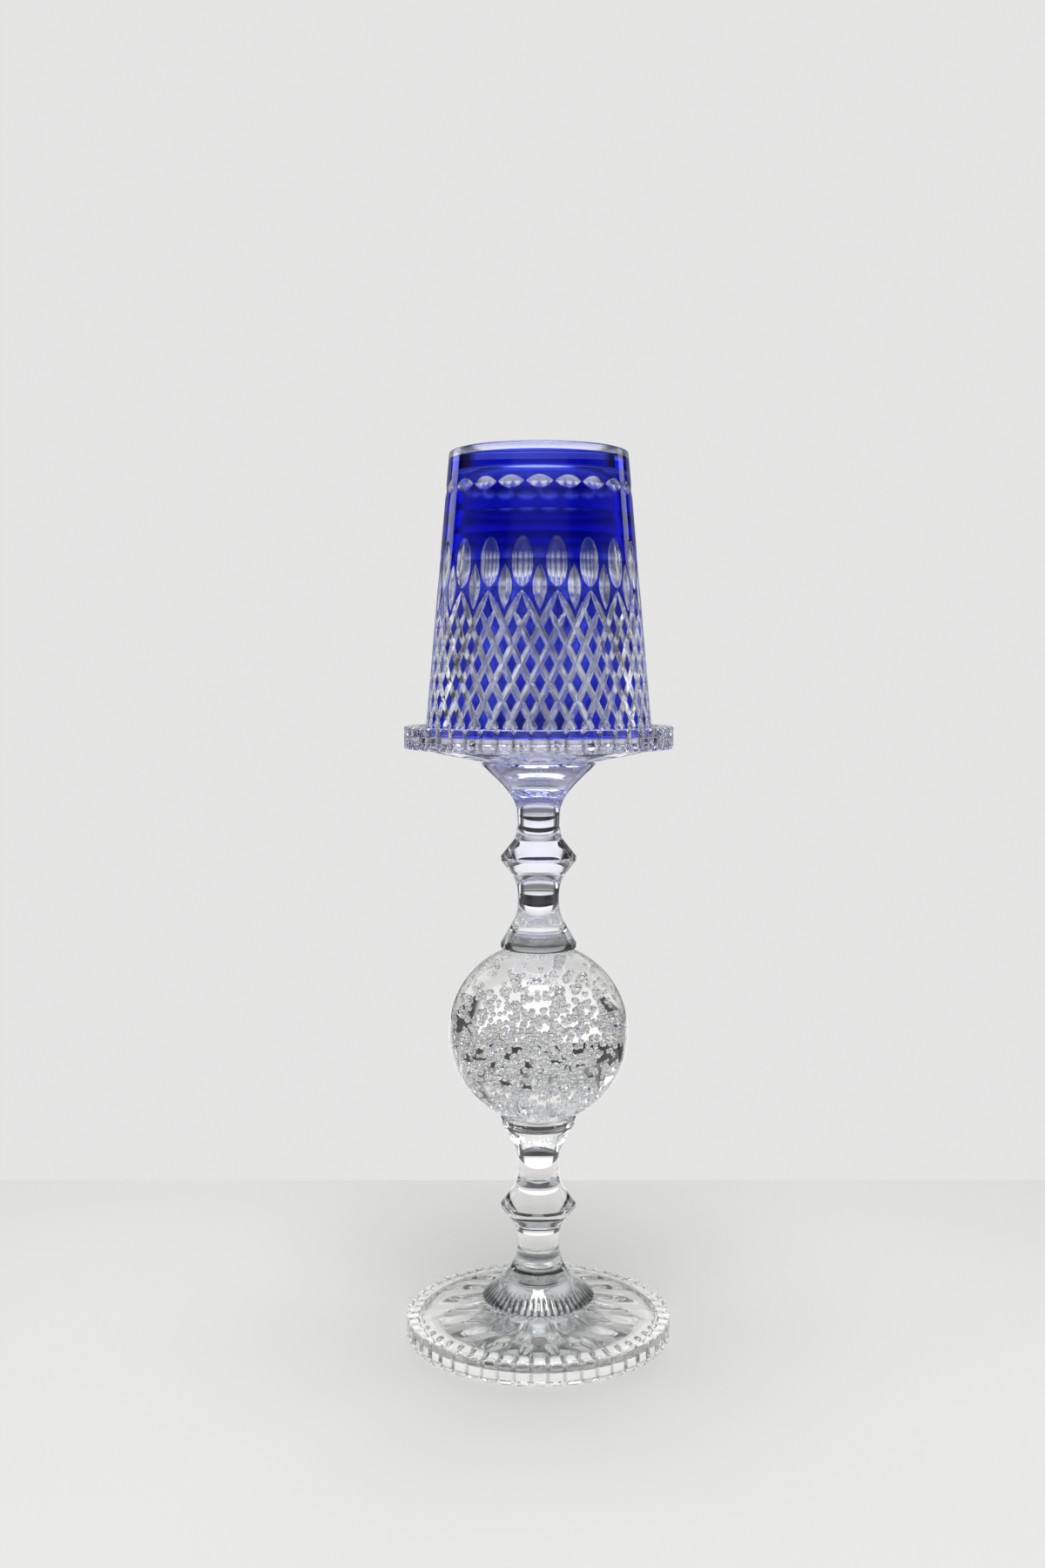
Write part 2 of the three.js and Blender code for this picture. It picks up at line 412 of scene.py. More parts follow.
@dataclass(frozen=True)
class GlowPaintedCrystal:
    """The same crystal under the shade, with painted light: the lavender glow of the blue shade, put into its
    colour and fading downwards.
    """

    name: str
    clear_height: float
    glow_height: float
    clear: Colour = (0.980, 0.984, 0.980)
    # Painted light: the blue shade's glow, put into the glass colour at the top.
    painted_glow: Colour = (0.82, 0.83, 0.985)
    ior: float = 1.53
    painted_slot_shade: float = 0.34

    def make(self) -> bpy.types.Material:
        """Builds the material."""
        recipe = Recipe(self.name)
        recipe.set(IOR=self.ior, Transmission_Weight=1.0)
        split = recipe.nodes.new("ShaderNodeSeparateXYZ")
        recipe.links.new(recipe.place, split.inputs["Vector"])
        rise = recipe.nodes.new("ShaderNodeMapRange")
        rise.inputs["From Min"].default_value = self.clear_height
        rise.inputs["From Max"].default_value = self.glow_height
        recipe.links.new(split.outputs["Z"], rise.inputs["Value"])
        # Painted light: the shade's lavender glow fades in with height.
        glow_colour = recipe.ramp(rise.outputs["Result"], [(0, self.clear), (1, self.painted_glow)])
        recipe.feed("Base Color", recipe.paint_slot_shade(glow_colour, self.painted_slot_shade))
        recipe.feed("Roughness", recipe.spread(recipe.noise(90), 0.0, 0.03))
        recipe.bump(recipe.noise(55, 2), 0.12, 0.6 * MM)
        return recipe.material


@dataclass(frozen=True)
class CasedGlass:
    """Clear glass under a skin of cobalt, which is gone wherever the wheel has cut."""

    name: str = "cobalt_cased_glass"
    cobalt: Colour = (0.006, 0.012, 0.86)
    deep_cobalt: Colour = (0.003, 0.005, 0.58)
    clear: Colour = (0.93, 0.95, 0.985)
    skin_share: float = 0.05
    polished: float = 0.01
    cut_face: float = 0.10
    as_blown: float = 0.16
    ior: float = 1.52

    def make(self) -> bpy.types.Material:
        """Builds the material. It reads how deep the wheel has cut from the mesh."""
        recipe = Recipe(self.name)
        recipe.set(IOR=self.ior, Transmission_Weight=1.0)
        cut = recipe.nodes.new("ShaderNodeAttribute")
        cut.attribute_name = Shade.CUT
        skin = recipe.ramp(recipe.noise(28, 2), [(0.35, self.deep_cobalt), (0.65, self.cobalt)])
        bare = recipe.ramp(
            cut.outputs["Fac"],
            [(0, (0, 0, 0)), (self.skin_share, (0, 0, 0)), (self.skin_share + 0.04, (1, 1, 1))],
        )
        mix = recipe.nodes.new("ShaderNodeMix")
        mix.data_type = "RGBA"
        recipe.links.new(bare, mix.inputs[0])
        recipe.links.new(skin, mix.inputs[6])
        mix.inputs[7].default_value = (*self.clear, 1)
        recipe.feed("Base Color", mix.outputs[2])
        smooth_skin, ground, blown = ((share,) * 3 for share in (self.polished, self.cut_face, self.as_blown))
        stops = [(0, smooth_skin), (0.05, smooth_skin), (0.1, ground), (0.8, ground), (1, blown)]
        recipe.feed("Roughness", recipe.ramp(cut.outputs["Fac"], stops))
        recipe.bump(recipe.noise(45, 2), 0.10, 0.6 * MM)
        return recipe.material


@dataclass(frozen=True)
class CuredBond:
    """Clear adhesive, cured in a thin film."""

    name: str = "cured_clear_bond"
    tint: Colour = (0.90, 0.93, 0.95)

    def make(self) -> bpy.types.Material:
        """Builds the material."""
        recipe = Recipe(self.name)
        recipe.set(Base_Color=(*self.tint, 1), IOR=1.53, Transmission_Weight=1.0)
        recipe.feed("Roughness", recipe.spread(recipe.noise(400), 0.0, 0.05))
        return recipe.material


@dataclass(frozen=True)
class SheetMetal:
    """Bare rolled metal with a drawn grain."""

    name: str
    light: Colour
    dark: Colour
    roughness: float

    def make(self) -> bpy.types.Material:
        """Builds the material."""
        recipe = Recipe(self.name)
        recipe.set(Metallic=1.0)
        grain = recipe.noise(900, 4)
        recipe.feed("Base Color", recipe.ramp(grain, [(0.3, self.dark), (0.7, self.light)]))
        recipe.feed("Roughness", recipe.spread(grain, self.roughness * 0.7, self.roughness * 1.4))
        recipe.bump(grain, 0.25, 0.1 * MM)
        return recipe.material


@dataclass(frozen=True)
class Paraffin:
    """White wax, which lets a little light in."""

    name: str = "white_paraffin"

    def make(self) -> bpy.types.Material:
        """Builds the material."""
        recipe = Recipe(self.name)
        recipe.set(Subsurface_Weight=0.35, Subsurface_Scale=2 * MM, Subsurface_Radius=(1.0, 0.9, 0.75))
        cloud = recipe.noise(160, 4)
        recipe.feed("Base Color", recipe.ramp(cloud, [(0.2, (0.80, 0.78, 0.72)), (0.8, (0.93, 0.92, 0.88))]))
        recipe.feed("Roughness", recipe.spread(cloud, 0.38, 0.6))
        recipe.bump(cloud, 0.2, 0.3 * MM)
        return recipe.material


@dataclass(frozen=True)
class Cotton:
    """Waxed cotton braid."""

    name: str = "waxed_cotton"

    def make(self) -> bpy.types.Material:
        """Builds the material."""
        recipe = Recipe(self.name)
        recipe.set(Sheen_Weight=0.3)
        thread = recipe.noise(2600, 3)
        twist = recipe.ramp(thread, [(0.25, (0.62, 0.58, 0.48)), (0.75, (0.88, 0.85, 0.77))])
        recipe.feed("Base Color", twist)
        recipe.feed("Roughness", recipe.spread(thread, 0.7, 0.95))
        recipe.bump(thread, 0.5, 0.15 * MM)
        return recipe.material


@dataclass(frozen=True)
class BlackCard:
    """Matt black card."""

    name: str = "black_card"

    def make(self) -> bpy.types.Material:
        """Builds the material."""
        recipe = Recipe(self.name)
        blacks = [(0.2, (0.01, 0.01, 0.012)), (0.8, (0.02, 0.02, 0.02))]
        recipe.feed("Base Color", recipe.ramp(recipe.noise(8), blacks))
        recipe.set(Roughness=0.9)
        return recipe.material


@dataclass(frozen=True)
class PaleFloor:
    """Matt off-white paint."""

    name: str = "pale_floor"

    def make(self) -> bpy.types.Material:
        """Builds the material."""
        recipe = Recipe(self.name)
        cloud = recipe.noise(3, 2)
        whites = [(0.2, (0.77, 0.765, 0.755)), (0.8, (0.80, 0.795, 0.785))]
        recipe.feed("Base Color", recipe.ramp(cloud, whites))
        recipe.set(Roughness=0.6)
        return recipe.material


# ---------------------------------------------------------------- the column


@dataclass
class Dish:
    """A pressed dish with a toothed rim, a well in its face and petals in its back. Millimetres."""

    node: str
    way: Way
    finish: ClearCrystal | GlowPaintedCrystal
    radius: float = 60
    height: float = 15.8
    back_drop: float = 5.9
    seat_radius: float = 26
    land_radius: float = 56.5
    well_depth: float = 4.5
    well_floor_radius: float = 52
    well_mouth_radius: float = 53
    tooth_count: int = 52
    columns_per_tooth: int = 12
    slot_share: float = 0.38
    slot_side: float = 0.17
    slot_depth: float = 1.7
    slot_inner_radius: float = 53
    edge_slot_depth: float = 1.5
    edge_slot_inner_radius: float = 56
    flute_depth: float = 0.8
    rounding: float = 0.8
    seat_flute_depth: float = 0.7
    seat_flute_radius: float = 17
    petal_count: int = 16
    petal_depth: float = 1.2
    petal_share: float = 0.45
    petal_inner_radius: float = 25.2
    petal_outer_radius: float = 46
    shadow: bool = True

    def outline(self) -> Outline:
        """The section with the well up, before the teeth and petals."""
        edge = 0.5
        turn_in = self.rounding * 0.45
        floor = self.height - self.well_depth
        slope = self.back_drop / (self.land_radius - self.seat_radius)
        slot = self.slot_inner_radius
        rim = Outline().to(0, 0).to(self.seat_flute_radius, 0, 2).to(self.petal_inner_radius, 0, 5)
        rim.to(self.seat_radius, 0)
        for radius, steps in ((slot, 20), (slot + 0.7, 1)):
            rim.to(radius, slope * (radius - self.seat_radius), steps)
        rim.to(self.land_radius, self.back_drop, 3).to(self.radius - self.rounding, self.back_drop, 3)
        back_end = (self.radius, self.back_drop + self.rounding)
        leave, arrive = (self.radius - turn_in, self.back_drop), (self.radius, self.back_drop + turn_in)
        rim.curve(leave, arrive, back_end, 3)
        rim.to(self.radius, self.back_drop + 2.4, 2).to(self.radius, self.height - 1.8, 3)
        rim.to(self.radius, self.height - self.rounding)
        face_end = (self.radius - self.rounding, self.height)
        rim.curve((self.radius, self.height - turn_in), (self.radius - turn_in, self.height), face_end, 3)
        rim.to(self.edge_slot_inner_radius, self.height, 3)
        rim.to(self.well_mouth_radius + edge, self.height, 2).to(self.well_mouth_radius, self.height - edge)
        rim.to(self.well_floor_radius + edge, floor + edge, 3).to(self.well_floor_radius - edge, floor)
        return rim.to(40, floor, 2).to(0, floor, 2)

    def slots(self, angle: np.ndarray) -> np.ndarray:
        """How far into a slot each angle lies, from 0 on a tooth to 1 on the slot's floor."""
        from_middle = 0.5 - np.abs(sector(angle, self.tooth_count))
        return np.clip((self.slot_share / 2 - from_middle) / self.slot_side, 0, 1)

    def petals(self, angle: np.ndarray, radius: np.ndarray) -> np.ndarray:
        """How deep the petals are pressed, as a share of their full depth. They run out towards the rim."""
        across = np.abs(sector(angle - TOWARDS_VIEWER, self.petal_count)) / self.petal_share
        hollow = np.clip(1 - across**2, 0, 1) ** 0.5
        run_out = np.clip((self.petal_outer_radius - 5 * across**2 - radius) / 9, 0, 1)
        return hollow * run_out * np.clip((radius - self.petal_inner_radius) / 1.5, 0, 1)

    def seat_flutes(self, angle: np.ndarray, radius: np.ndarray) -> np.ndarray:
        """How deep the fine flutes are that ring the seat under the stem, as a share of their full depth."""
        fade_in = np.clip((radius - self.seat_flute_radius) / 2, 0, 1)
        fade_out = np.clip((self.seat_radius - radius) / 0.8, 0, 1)
        return fade_in * fade_out * (1 - 2 * np.abs(sector(angle, self.tooth_count)))

    def shape(self, piece: bpy.types.Object, base: float) -> None:
        """Presses the slots and the petals into the turned blank, and notes the slots and flutes where shade
        is painted.

        Args:
            piece: The blank, already the right way up.
            base: The height in metres that it stands at.
        """
        places = read_places(piece)
        up = 1 if self.way is Way.UPRIGHT else -1
        angle = np.arctan2(places[:, 1], places[:, 0])
        radius = np.hypot(places[:, 0], places[:, 1]) / MM
        height = (places[:, 2] - base) / MM
        if self.way is Way.UPENDED:
            height = self.height - height
        slot = self.slots(angle)
        on_back = height < self.back_drop + 0.1
        near_back = np.clip((self.back_drop + 3.4 - height) / 2.2, 0, 1)
        near_face = np.clip((height - self.height + 3.0) / 1.6, 0, 1)
        back_slot = slot * near_back * np.clip((radius - self.slot_inner_radius) / 0.7, 0, 1)
        face_slot = slot * near_face * np.clip((radius - self.edge_slot_inner_radius) / 1.5, 0, 1)
        pressed = height + back_slot * self.slot_depth - face_slot * self.edge_slot_depth
        pressed += np.where(on_back, self.petals(angle, radius) * self.petal_depth, 0)
        pressed += np.where(on_back, self.seat_flutes(angle, radius) * self.seat_flute_depth, 0)
        flute = np.clip(radius - (self.radius - 1.8), 0, 1) * slot
        # The slots and flutes are noted on the mesh, and the crystal paints shade into them.
        note = piece.data.attributes.new(SLOT_SHADE_NOTE, "FLOAT", "POINT")
        note.data.foreach_set("value", np.maximum.reduce([flute, back_slot, face_slot]).astype(np.float32))
        inward = flute * self.flute_depth
        scale = np.where(radius > 1e-3, (radius - inward) / np.maximum(radius, 1e-3), 1)
        places[:, 0] *= scale
        places[:, 1] *= scale
        places[:, 2] += up * (pressed - height) * MM
        write_places(piece, places)

    def build(self) -> None:
        """Turns, presses and hands over the dish."""
        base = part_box(self.node)[0].z
        outline = self.outline()
        if self.way is Way.UPENDED:
            outline = outline.turned_over(self.height)
        columns = self.tooth_count * self.columns_per_tooth
        piece = turn(f"{self.node}_glass", outline, columns, base, sectors=self.tooth_count // 4)
        self.shape(piece, base)
        smooth(piece, 28)
        piece.data.materials.append(self.finish.make())
        piece.visible_shadow = self.shadow
        hand_over(piece, Body.STAND, self.node)


@dataclass
class Stem:
    """A turned stem: a trumpet foot, a neck, a knop, a waist and a cup that holds the ball. Millimetres."""

    node: str
    way: Way
    finish: ClearCrystal | GlowPaintedCrystal
    length: float = 83.7
    foot_radius: float = 25.4
    neck_radius: float = 9.6
    waist_radius: float = 9.2
    knop_radius: float = 17
    knop_height: float = 43
    knop_edge: float = 1.4
    shoulder_radius: float = 11.3
    shoulder_reach: float = 7.9
    cup_radius: float = 16.9
    divisions: int = 208
    fluted: bool = False
    flute_count: int = 52
    flute_depth: float = 0.35
    flute_height: float = 6.8

    def outline(self) -> Outline:
        """The section with the wide end down."""
        low = self.knop_height - self.shoulder_reach
        high = self.knop_height + self.shoulder_reach
        half_edge = self.knop_edge / 2
        edge = 0.5
        line = Outline().to(0, 0).to(self.foot_radius - edge, 0, 3).to(self.foot_radius, edge)
        line.to(self.foot_radius, 1.2)
        line.curve((19.5, 7.5), (self.neck_radius, 14), (self.neck_radius, 24), 22)
        line.to(self.neck_radius, 28, 2)
        line.curve((self.neck_radius, 31), (10.3, low - 1.2), (self.shoulder_radius, low), 8)
        line.to(self.knop_radius - 0.3, self.knop_height - half_edge - 0.4, 5)
        line.to(self.knop_radius, self.knop_height - half_edge)
        line.to(self.knop_radius, self.knop_height + half_edge)
        line.to(self.knop_radius - 0.3, self.knop_height + half_edge + 0.4)
        line.to(self.shoulder_radius, high, 5)
        line.curve((9.9, 54), (self.waist_radius, 56), (self.waist_radius, 60), 8)
        line.to(self.waist_radius, 63.5, 2)
        line.curve((self.waist_radius, 69), (12.8, 74), (self.cup_radius, self.length - 2.4), 14)
        line.to(self.cup_radius, self.length - edge).to(self.cup_radius - edge, self.length)
        return line.to(0, self.length, 3)

    def flute(self, piece: bpy.types.Object, base: float) -> None:
        """Presses fine upright flutes into the wide end, and notes them on the mesh, where the crystal paints
        dark shade stripes.

        Args:
            piece: The turned stem, wide end down.
            base: The height in metres that it stands at.
        """
        places = read_places(piece)
        angle = np.arctan2(places[:, 1], places[:, 0])
        radius = np.hypot(places[:, 0], places[:, 1]) / MM
        height = (places[:, 2] - base) / MM
        wall = (radius > self.neck_radius + 3) & (height > 0.3)
        fade = np.where(wall, np.clip((self.flute_height - height) / 1.8, 0, 1), 0)
        flute = fade * (1 - 2 * np.abs(sector(angle, self.flute_count)))
        # Painted shade: the flutes are noted so that the crystal is darkened in them.
        note = piece.data.attributes.new(SLOT_SHADE_NOTE, "FLOAT", "POINT")
        note.data.foreach_set("value", flute.astype(np.float32))
        scale = 1 - flute * self.flute_depth / np.maximum(radius, 1)
        places[:, 0] *= scale
        places[:, 1] *= scale
        write_places(piece, places)

    def build(self) -> None:
        """Turns, flutes and hands over the stem."""
        outline = self.outline()
        if self.way is Way.UPENDED:
            outline = outline.turned_over(self.length)
        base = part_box(self.node)[0].z
        piece = turn(f"{self.node}_glass", outline, self.divisions, base, sectors=8)
        if self.fluted:
            self.flute(piece, base)
        smooth(piece)
        piece.data.materials.append(self.finish.make())
        hand_over(piece, Body.STAND, self.node)


@dataclass
class Bond:
    """A film of clear adhesive. It wets both faces, so it reaches a hair into each."""

    node: str
    wetting: float = 0.07 * MM

    def build(self) -> None:
        """Turns and hands over the film."""
        low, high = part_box(self.node)
        radius = high.x / MM
        thickness = (high.z - low.z + 2 * self.wetting) / MM
        outline = Outline().to(0, 0).to(radius - 0.1, 0, 3)
        leave, arrive = (radius + 0.1, thickness * 0.3), (radius + 0.1, thickness * 0.7)
        outline.curve(leave, arrive, (radius - 0.1, thickness), 4)
        outline.to(0, thickness, 3)
        piece = turn(f"{self.node}_film", outline, 96, low.z - self.wetting)
        smooth(piece)
        piece.data.materials.append(CuredBond().make())
        hand_over(piece, Body.STAND, self.node)


@dataclass
class BubbleBall:
    """A crystal ball, ground flat at its poles, with a crowd of air bubbles in it. Millimetres."""

    node: str = "bubble_ball"
    radius: float = 40.5
    flat_radius: float = 14
    divisions: int = 128
    rings: int = 64
    bubble_count: int = 1500
    smallest_bubble: float = 0.8
    largest_bubble: float = 1.15
    skin: float = 2.6
    seed: int = 11

    def outline(self, half_height: float) -> Outline:
        """The section of the ball, with its flats."""
        pole = math.asin(self.flat_radius / self.radius)
        line = Outline().to(0, -half_height)
        for ring in range(self.rings + 1):
            angle = pole + (math.pi - 2 * pole) * ring / self.rings
            line.to(self.radius * math.sin(angle), -self.radius * math.cos(angle))
        return line.to(0, half_height)

    def bubble_places(self, half_height: float) -> list[tuple[Vector, float]]:
        """Scatters the bubbles, thinly at the top and thickly below, with none touching.

        Args:
            half_height: Half the ball's height between its flats.

        Returns:
            Each bubble's middle and radius, from the ball's middle.
        """
        draw = random.Random(self.seed)
        cell = 2 * self.largest_bubble
        taken: dict[tuple[int, int, int], list[tuple[Vector, float]]] = {}
        bubbles: list[tuple[Vector, float]] = []
        reach = self.radius - self.skin
        while len(bubbles) < self.bubble_count:
            place = Vector([draw.uniform(-reach, reach) for _ in range(3)])
            size = draw.uniform(self.smallest_bubble, self.largest_bubble)
            rise = place.z / self.radius
            chance = 1.0 if rise < 0.15 else max(0.07, 1.0 - 2.2 * (rise - 0.15))
            if place.length > reach or abs(place.z) > half_height - self.skin or draw.random() > chance:
                continue
            home = tuple(int(part // cell) for part in place)
            near = [
                bubble
                for x in (-1, 0, 1)
                for y in (-1, 0, 1)
                for z in (-1, 0, 1)
                for bubble in taken.get((home[0] + x, home[1] + y, home[2] + z), [])
            ]
            if any((other - place).length < other_size + size + 0.1 for other, other_size in near):
                continue
            taken.setdefault(home, []).append((place, size))
            bubbles.append((place, size))
        return bubbles

    def blow(self, middle: float, half_height: float) -> bpy.types.Object:
        """Makes the skins of all the bubbles, facing into the air inside them.

        Args:
            middle: The height of the ball's middle in metres.
            half_height: Half the ball's height in millimetres.

        Returns:
            One object that holds every bubble.
        """
        deselect_all()
        bpy.ops.mesh.primitive_uv_sphere_add(segments=8, ring_count=5, radius=1, location=(0, 0, 0))
        bubble = bpy.context.object
        bpy.ops.object.mode_set(mode="EDIT")
        bpy.ops.mesh.select_all(action="SELECT")
        bpy.ops.mesh.flip_normals()
        bpy.ops.object.mode_set(mode="OBJECT")
        shape = read_places(bubble)
        faces = [list(face.vertices) for face in bubble.data.polygons]
        bubbles = self.bubble_places(half_height)
        places = [shape * (size * MM) + np.array(place) * MM + (0, 0, middle) for place, size in bubbles]
        starts = [index * len(shape) for index in range(len(bubbles))]
        loops = [[corner + start for corner in face] for start in starts for face in faces]
        crowd = bpy.data.meshes.new("bubbles")
        crowd.from_pydata(np.concatenate(places).tolist(), [], loops)
        bubble.data = crowd
        return bubble

    def build(self) -> None:
        """Turns the ball, blows its bubbles and hands it over."""
        low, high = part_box(self.node)
        half_height = (high.z - low.z) / 2 / MM
        middle = (high.z + low.z) / 2
        piece = turn("bubble_ball_glass", self.outline(half_height), self.divisions, middle, sectors=8)
        bubbles = self.blow(middle, half_height)
        deselect_all()
        bubbles.select_set(True)
        piece.select_set(True)
        bpy.context.view_layer.objects.active = piece
        bpy.ops.object.join()
        smooth(piece, 60)
        seeded = ClearCrystal("seeded_crystal", tint=(0.985, 0.99, 0.98), ripple=0.05)
        piece.data.materials.append(seeded.make())
        hand_over(piece, Body.STAND, self.node)


# ---------------------------------------------------------------- the shade


@dataclass
class Shade:
    """An upturned cup of cased glass, cut on the wheel. Heights are from its mouth. Millimetres."""

    CUT = "cut"
    INSIDE = 1.5

    node: str = "shade"
    height: float = 125
    mouth_radius: float = 50.6
    top_radius: float = 39.5
    mouth_wall: float = 4.8
    top_wall: float = 7
    end_thickness: float = 9
    corner: float = 1.2
    repeats: int = 19
    steps_per_cell: int = 16
    ring_heights: tuple[float, ...] = (97.6, 87.7, 76.2, 64.7)
    ring_depth: float = 0.16
    chain_count: int = 21
    chain_height: float = 108
    chain_half_height: float = 3.0
    chain_depth: float = 0.7
    oval_height: float = 74.5
    oval_size: Point = (9.1, 21.0)
    oval_depth: float = 1.2
    leaf_height: float = 64.2
    leaf_size: Point = (6.3, 20.0)
    leaf_depth: float = 1.1
    apex_height: float = 62.7
    cell_height: float = 15.6
    groove_share: float = 0.22
    groove_depth: float = 1.3
    plain_band: float = 4.2
    full_depth: float = 1.3

    def wall_radius(self, height: np.ndarray | float) -> np.ndarray | float:
        """The radius of the uncut outside at a height."""
        return self.mouth_radius + (self.top_radius - self.mouth_radius) * height / self.height

    def outline(self) -> Outline:
        """The section, from the middle of the closed end's inside, down and round to the top."""
        inner_top = self.top_radius - self.top_wall
        inner_height = self.height - self.end_thickness
        inner_mouth = self.mouth_radius - self.mouth_wall
        line = Outline().to(0, inner_height).to(inner_top - 6, inner_height, 3)
        leave, arrive = (inner_top - 2, inner_height), (inner_top, inner_height - 2)
        line.curve(leave, arrive, (inner_top, inner_height - 6), 5)
        for height in self.ring_heights:
            radius = inner_mouth + (inner_top - inner_mouth) * height / (inner_height - 6)
            line.to(radius, height + 0.9).to(radius - self.ring_depth, height).to(radius, height - 0.9)
        line.to(inner_mouth, 0.5, 8).to(inner_mouth + 0.5, 0).to(self.mouth_radius - 0.3, 0, 2)
        line.to(self.wall_radius(0.3), 0.3)
        step = self.cell_height / self.steps_per_cell
        for row in range(round((self.apex_height - 2 - 0.3) / step), -1, -1):
            height = self.apex_height - row * step
            line.to(self.wall_radius(height), height)
        for height, steps in ((86, 24), (104.7, 5), (111.3, 12), (self.height - self.corner, 5)):
            line.to(self.wall_radius(height), height, steps)
        top = self.wall_radius(self.height - self.corner)
        line.curve((top, self.height - 0.5), (top - 0.5, self.height), (top - self.corner, self.height), 4)
        return line.to(0, self.height, 4)

    def chain(self, angle: np.ndarray, height: np.ndarray) -> np.ndarray:
        """The depth of the lenses that lie tip to tip under the closed end."""
        along = 2 * np.abs(sector(angle - TOWARDS_VIEWER, self.chain_count))
        bulge = 1 - along**2
        across = np.abs(height - self.chain_height) / np.maximum(self.chain_half_height * bulge, 1e-6)
        return self.chain_depth * bulge * np.clip(1 - across, 0, 1)

    def ovals(self, turned: np.ndarray, height: np.ndarray, radius: np.ndarray) -> np.ndarray:
        """The depth of the hollow ovals."""
        width, tall = self.oval_size
        across = sector(turned, self.repeats) * FULL_TURN / self.repeats * radius / (width / 2)
        along = (height - self.oval_height) / (tall / 2)
        return self.oval_depth * np.clip(1 - across**2 - along**2, 0, 1) ** 0.7

    def leaves(self, turned: np.ndarray, height: np.ndarray, radius: np.ndarray) -> np.ndarray:
        """The depth of the pointed leaves between the ovals."""
        width, tall = self.leaf_size
        pitch = FULL_TURN / self.repeats
        across = np.abs(sector(turned + pitch / 2, self.repeats)) * pitch * radius / (width / 2)
        bulge = np.clip(1 - ((height - self.leaf_height) / (tall / 2)) ** 2, 0, 1)
        return self.leaf_depth * bulge * np.clip(1 - across / np.maximum(bulge, 1e-6), 0, 1)

    def lattice(self, turned: np.ndarray, height: np.ndarray) -> np.ndarray:
        """The depth of the crossed mitre cuts. Every other cut starts at a point under an oval."""
        across = turned * 2 * self.repeats / FULL_TURN
        along = (height - self.apex_height) / self.cell_height
        stop = np.clip((height - self.plain_band) / 1.0, 0, 1)
        depth = np.zeros_like(height)
        for lean in (1, -1):
            line = across + lean * along
            number = np.round(line)
            start = np.where(number % 2 == 0, 0.0, -0.5)
            taper = np.clip((start - along) / 0.4, 0, 1) ** 0.6 * stop
            half_width = np.maximum(self.groove_share * taper, 1e-6)
            groove = np.clip(1 - np.abs(line - number) / half_width, 0, 1)
            depth = np.maximum(depth, self.groove_depth * taper * groove)
        return depth

    def depth(self, angle: np.ndarray, height: np.ndarray) -> np.ndarray:
        """How deep the wheel has cut at each place on the outside.

        Args:
            angle: Angles round the axis, in radians.
            height: Heights above the mouth.

        Returns:
            Depths in millimetres.
        """
        turned = angle - TOWARDS_VIEWER + math.pi / self.repeats
        radius = self.wall_radius(height)
        deepest = np.maximum(self.chain(angle, height), self.lattice(turned, height))
        deepest = np.maximum(deepest, self.ovals(turned, height, radius))
        return np.maximum(deepest, self.leaves(turned, height, radius))

    def split_faces(
        self, piece: bpy.types.Object, angle: np.ndarray, height: np.ndarray, depth: np.ndarray
    ) -> None:
        """Splits each four-sided face along whichever diagonal follows the cuts better.

        Args:
            piece: The blank.
            angle: The angle of each vertex.
            height: The height of each vertex.
            depth: The depth of the cut at each vertex.
        """
        faces = piece.data.polygons
        sides = np.empty(len(faces), dtype=np.int32)
        faces.foreach_get("loop_total", sides)
        starts = np.empty(len(faces), dtype=np.int32)
        faces.foreach_get("loop_start", starts)
        corners = np.empty(len(piece.data.loops), dtype=np.int32)
        piece.data.loops.foreach_get("vertex_index", corners)
        quads = corners[starts[sides == 4][:, None] + np.arange(4)]
        middle = np.arctan2(np.sin(angle[quads]).mean(1), np.cos(angle[quads]).mean(1))
        wanted = self.depth(middle, height[quads].mean(1))
        first = np.abs(depth[quads[:, [0, 2]]].mean(1) - wanted)
        second = np.abs(depth[quads[:, [1, 3]]].mean(1) - wanted)
        select = np.zeros(len(faces), dtype=bool)
        deselect_all()
        bpy.context.view_layer.objects.active = piece
        piece.select_set(True)
        bpy.context.tool_settings.mesh_select_mode = (False, False, True)
        select[sides == 4] = second < first
        for chosen, method in ((select, "FIXED_ALTERNATE"), (None, "FIXED")):
            if chosen is not None:
                faces.foreach_set("select", chosen)
            bpy.ops.object.mode_set(mode="EDIT")
            if chosen is None:
                bpy.ops.mesh.select_all(action="SELECT")
            bpy.ops.mesh.quads_convert_to_tris(quad_method=method)
            bpy.ops.object.mode_set(mode="OBJECT")
        bpy.context.tool_settings.mesh_select_mode = (True, False, False)

    def cut(self, piece: bpy.types.Object, base: float) -> None:
        """Cuts the pattern into the outside, and notes on the mesh where the cobalt is gone.

        Args:
            piece: The turned blank.
            base: The height in metres that its mouth stands at.
        """
        places = read_places(piece)
        angle = np.arctan2(places[:, 1], places[:, 0])
        radius = np.hypot(places[:, 0], places[:, 1]) / MM
        height = (places[:, 2] - base) / MM
        on_wall = np.abs(radius - self.wall_radius(height)) < 0.02
        outside = on_wall & (height < self.height - self.corner - 0.5)
        depth = np.where(outside, self.depth(angle, height), 0)
        inside = ~outside & (height < self.height - 0.5) & (radius < self.wall_radius(height) - 0.6)
        end = height > self.height - self.corner - 0.1
        note = np.where(inside, self.INSIDE, np.where(end, 1.0, depth / self.full_depth))
        layer = piece.data.attributes.new(self.CUT, "FLOAT", "POINT")
        layer.data.foreach_set("value", note.astype(np.float32))
        self.split_faces(piece, angle, height, depth)
        scale = np.where(radius > 1, (radius - depth) / np.maximum(radius, 1), 1)
        places[:, 0] *= scale
        places[:, 1] *= scale
        write_places(piece, places)

